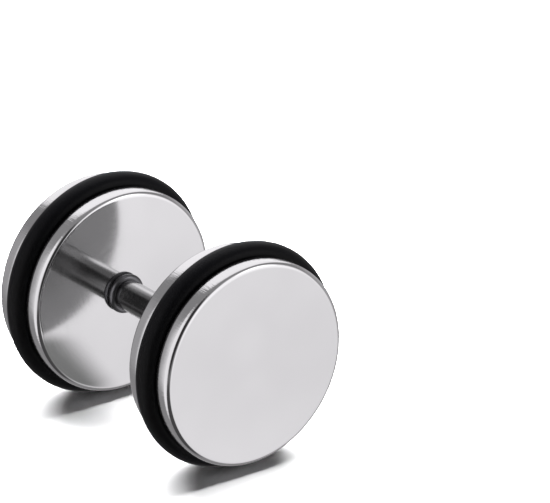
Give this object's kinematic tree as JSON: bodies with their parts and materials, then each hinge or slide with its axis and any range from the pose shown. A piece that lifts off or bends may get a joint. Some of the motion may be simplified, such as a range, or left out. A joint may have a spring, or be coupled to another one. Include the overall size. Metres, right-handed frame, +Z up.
{
  "type": "barbell stud earring",
  "caption": "Barbell stud earring with round grooved steel plates, each with a rubber ring round its rim, joined by a thin post; the rear plate comes off.",
  "frame": {"origin": "on the surface that the stud rests on, below the middle of its length", "axes": "+X along the post towards the front plate, +Z up, the post level"},
  "size_m": [0.011, 0.0088, 0.0089],
  "materials": {
    "turned_steel": "fine turned stainless steel",
    "post_steel": "polished stainless steel",
    "black_rubber": "smooth moulded rubber, satin"
  },
  "bodies": {
    "front": {"front_plate": "turned_steel", "front_ring": "black_rubber", "post": "post_steel"},
    "rear": {"rear_plate": "turned_steel", "rear_ring": "black_rubber"}
  },
  "joints": [
    {"name": "rear_plate_off", "type": "slide", "parent": "front", "child": "rear", "axis": [-1, 0, 0], "range_m": [0, 0.009]}
  ]
}
